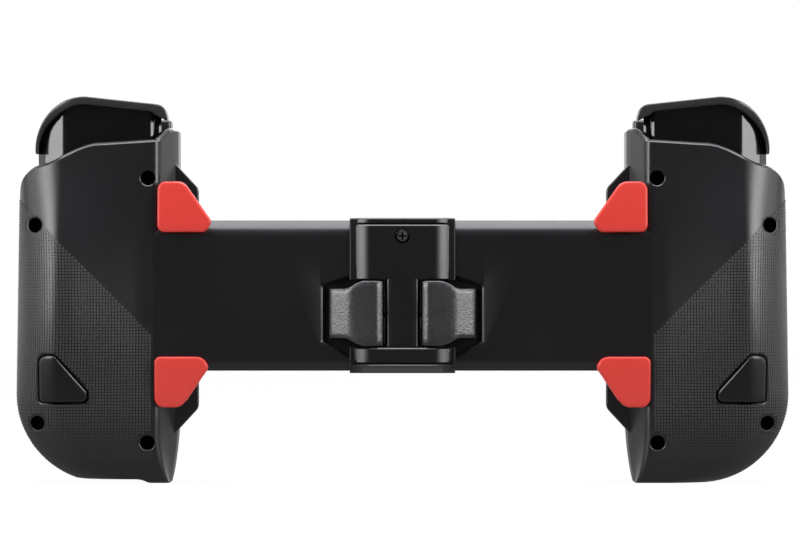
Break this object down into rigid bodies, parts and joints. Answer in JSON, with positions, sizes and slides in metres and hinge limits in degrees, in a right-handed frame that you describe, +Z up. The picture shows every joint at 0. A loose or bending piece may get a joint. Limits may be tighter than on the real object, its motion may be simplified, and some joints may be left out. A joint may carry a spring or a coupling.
{
  "type": "telescopic phone game controller",
  "caption": "Black telescopic game controller for a phone: two grips with thumbsticks, buttons and triggers on a sliding bridge with a middle collar and red corner pads.",
  "frame": {"origin": "middle of the bounding box in plan, at the base of the grips", "axes": "+X to the player's left-hand grip, +Y to the front where the phone and thumbsticks are, +Z up along the grips"},
  "size_m": [0.2176, 0.038, 0.1085],
  "materials": {
    "shell_black": "fine matte moulding, partly textured",
    "trigger_black": "polished",
    "button_black": "satin",
    "accent_red": "satin, pillowed",
    "rubber_black": "matt",
    "release_grain": "spark-eroded grain",
    "rail_aluminium": "drawn",
    "steel": "plain",
    "gear_nylon": "moulded",
    "stick_nylon": "moulded",
    "board_green": "solder mask",
    "cable_amber": "film"
  },
  "bodies": {
    "bridge": {"slide_rail": "rail_aluminium", "collar_rear": "shell_black", "collar_front": "shell_black", "collar_screw": "steel", "pinion_pin": "steel", "flex_cable": "cable_amber", "release_springs": "steel", "left_pull_spring": "steel", "right_pull_spring": "steel"},
    "pinion": {"pinion": "gear_nylon"},
    "left_grip": {"left_rear_shell": "shell_black", "left_front_shell": "shell_black", "left_arm_cover": "shell_black", "left_corner_pads": "accent_red", "left_end_pad": "rubber_black", "left_rack": "gear_nylon", "left_circuit_board": "board_green", "left_case_screws": "steel", "left_stick_base": "stick_nylon", "left_trigger_pin": "steel", "left_trigger_spring": "steel"},
    "right_grip": {"right_rear_shell": "shell_black", "right_front_shell": "shell_black", "right_arm_cover": "shell_black", "right_corner_pads": "accent_red", "right_end_pad": "rubber_black", "right_rack": "gear_nylon", "right_circuit_board": "board_green", "right_case_screws": "steel", "right_stick_base": "stick_nylon", "right_trigger_pin": "steel", "right_trigger_spring": "steel", "phone_plug": "steel", "charge_port": "steel"},
    "left_release": {"left_release_button": "release_grain"},
    "left_trigger": {"left_trigger": "trigger_black"},
    "left_bumper": {"left_bumper": "button_black"},
    "left_rear_button": {"left_rear_button": "button_black"},
    "left_stick_yoke": {"left_stick_yoke": "stick_nylon"},
    "left_stick_rocker": {"left_stick_rocker": "stick_nylon"},
    "left_stick": {"left_stick_lever": "stick_nylon", "left_stick_cap": "rubber_black"},
    "right_release": {"right_release_button": "release_grain"},
    "right_trigger": {"right_trigger": "trigger_black"},
    "right_bumper": {"right_bumper": "button_black"},
    "right_rear_button": {"right_rear_button": "button_black"},
    "right_stick_yoke": {"right_stick_yoke": "stick_nylon"},
    "right_stick_rocker": {"right_stick_rocker": "stick_nylon"},
    "right_stick": {"right_stick_lever": "stick_nylon", "right_stick_cap": "rubber_black"},
    "dpad_pivot": {"dpad_pivot": "stick_nylon"},
    "dpad": {"dpad": "button_black"},
    "view_button": {"view_button": "button_black"},
    "capture_button": {"capture_button": "button_black"},
    "menu_button": {"menu_button": "button_black"},
    "home_button": {"home_button": "button_black"},
    "face_button_up": {"face_button_up": "button_black"},
    "face_button_down": {"face_button_down": "button_black"},
    "face_button_left": {"face_button_left": "button_black"},
    "face_button_right": {"face_button_right": "button_black"}
  },
  "joints": [
    {"name": "left_slide", "type": "slide", "parent": "bridge", "child": "left_grip", "axis": [1, 0, 0], "range_m": [0, 0.03], "stiffness_N_per_m": 120, "springref_m": -0.025, "deforming": ["left_pull_spring", "right_pull_spring", "flex_cable"]},
    {"name": "right_slide", "type": "slide", "parent": "bridge", "child": "right_grip", "axis": [-1, 0, 0], "range_m": [0, 0.03], "stiffness_N_per_m": 120, "springref_m": -0.025, "deforming": ["left_pull_spring", "right_pull_spring", "flex_cable"]},
    {"name": "pinion_spin", "type": "hinge", "parent": "bridge", "child": "pinion", "pos_m": [0, -0.009, 0.0527], "axis": [0, 1, 0], "range_deg": [-5, 365]},
    {"name": "left_release_press", "type": "slide", "parent": "bridge", "child": "left_release", "axis": [-1, 0, 0], "range_m": [0, 0.0011], "stiffness_N_per_m": 600, "springref_m": -0.0015, "deforming": ["release_springs"]},
    {"name": "left_trigger_pull", "type": "hinge", "parent": "left_grip", "child": "left_trigger", "pos_m": [0.0815, 0.005, 0.0906], "axis": [1, 0, 0], "range_deg": [0, 12], "stiffness_Nm_per_rad": 0.2, "springref_deg": -8.59, "deforming": ["left_trigger_spring"]},
    {"name": "left_bumper_press", "type": "slide", "parent": "left_grip", "child": "left_bumper", "axis": [0, 0, -1], "range_m": [0, 0.0008], "stiffness_N_per_m": 900, "springref_m": -0.0008},
    {"name": "left_rear_button_press", "type": "slide", "parent": "left_grip", "child": "left_rear_button", "axis": [0, 1, 0], "range_m": [0, 0.0008], "stiffness_N_per_m": 700, "springref_m": -0.0008},
    {"name": "left_stick_up_down", "type": "hinge", "parent": "left_grip", "child": "left_stick_yoke", "pos_m": [0.087, 0.001, 0.067], "axis": [1, 0, 0], "range_deg": [-16, 16], "stiffness_Nm_per_rad": 0.08},
    {"name": "left_stick_side_to_side", "type": "hinge", "parent": "left_stick_yoke", "child": "left_stick_rocker", "pos_m": [0.087, 0.001, 0.067], "axis": [0, 0, 1], "range_deg": [-16, 16], "stiffness_Nm_per_rad": 0.08},
    {"name": "left_stick_click", "type": "slide", "parent": "left_stick_rocker", "child": "left_stick", "axis": [0, -1, 0], "range_m": [0, 0.0005], "stiffness_N_per_m": 2500, "springref_m": -0.0005},
    {"name": "right_release_press", "type": "slide", "parent": "bridge", "child": "right_release", "axis": [1, 0, 0], "range_m": [0, 0.0011], "stiffness_N_per_m": 600, "springref_m": -0.0015, "deforming": ["release_springs"]},
    {"name": "right_trigger_pull", "type": "hinge", "parent": "right_grip", "child": "right_trigger", "pos_m": [-0.0815, 0.005, 0.0906], "axis": [1, 0, 0], "range_deg": [0, 12], "stiffness_Nm_per_rad": 0.2, "springref_deg": -8.59, "deforming": ["right_trigger_spring"]},
    {"name": "right_bumper_press", "type": "slide", "parent": "right_grip", "child": "right_bumper", "axis": [0, 0, -1], "range_m": [0, 0.0008], "stiffness_N_per_m": 900, "springref_m": -0.0008},
    {"name": "right_rear_button_press", "type": "slide", "parent": "right_grip", "child": "right_rear_button", "axis": [0, 1, 0], "range_m": [0, 0.0008], "stiffness_N_per_m": 700, "springref_m": -0.0008},
    {"name": "right_stick_up_down", "type": "hinge", "parent": "right_grip", "child": "right_stick_yoke", "pos_m": [-0.081, 0.001, 0.036], "axis": [1, 0, 0], "range_deg": [-16, 16], "stiffness_Nm_per_rad": 0.08},
    {"name": "right_stick_side_to_side", "type": "hinge", "parent": "right_stick_yoke", "child": "right_stick_rocker", "pos_m": [-0.081, 0.001, 0.036], "axis": [0, 0, 1], "range_deg": [-16, 16], "stiffness_Nm_per_rad": 0.08},
    {"name": "right_stick_click", "type": "slide", "parent": "right_stick_rocker", "child": "right_stick", "axis": [0, -1, 0], "range_m": [0, 0.0005], "stiffness_N_per_m": 2500, "springref_m": -0.0005},
    {"name": "dpad_up_down", "type": "hinge", "parent": "left_grip", "child": "dpad_pivot", "pos_m": [0.08, 0.0035, 0.035], "axis": [1, 0, 0], "range_deg": [-5, 5], "stiffness_Nm_per_rad": 0.15},
    {"name": "dpad_side_to_side", "type": "hinge", "parent": "dpad_pivot", "child": "dpad", "pos_m": [0.08, 0.0035, 0.035], "axis": [0, 0, 1], "range_deg": [-5, 5], "stiffness_Nm_per_rad": 0.15},
    {"name": "view_press", "type": "slide", "parent": "left_grip", "child": "view_button", "axis": [0, -1, 0], "range_m": [0, 0.0006], "stiffness_N_per_m": 700, "springref_m": -0.0006},
    {"name": "capture_press", "type": "slide", "parent": "left_grip", "child": "capture_button", "axis": [0, -1, 0], "range_m": [0, 0.0006], "stiffness_N_per_m": 700, "springref_m": -0.0006},
    {"name": "menu_press", "type": "slide", "parent": "right_grip", "child": "menu_button", "axis": [0, -1, 0], "range_m": [0, 0.0006], "stiffness_N_per_m": 700, "springref_m": -0.0006},
    {"name": "home_press", "type": "slide", "parent": "right_grip", "child": "home_button", "axis": [0, -1, 0], "range_m": [0, 0.0006], "stiffness_N_per_m": 700, "springref_m": -0.0006},
    {"name": "face_up_press", "type": "slide", "parent": "right_grip", "child": "face_button_up", "axis": [0, -1, 0], "range_m": [0, 0.001], "stiffness_N_per_m": 500, "springref_m": -0.0008},
    {"name": "face_down_press", "type": "slide", "parent": "right_grip", "child": "face_button_down", "axis": [0, -1, 0], "range_m": [0, 0.001], "stiffness_N_per_m": 500, "springref_m": -0.0008},
    {"name": "face_left_press", "type": "slide", "parent": "right_grip", "child": "face_button_left", "axis": [0, -1, 0], "range_m": [0, 0.001], "stiffness_N_per_m": 500, "springref_m": -0.0008},
    {"name": "face_right_press", "type": "slide", "parent": "right_grip", "child": "face_button_right", "axis": [0, -1, 0], "range_m": [0, 0.001], "stiffness_N_per_m": 500, "springref_m": -0.0008}
  ],
  "couplings": [
    {"joint": "right_slide", "follows": "left_slide", "ratio": 1},
    {"joint": "pinion_spin", "follows": "left_slide", "rad_per_m": 208.33}
  ]
}
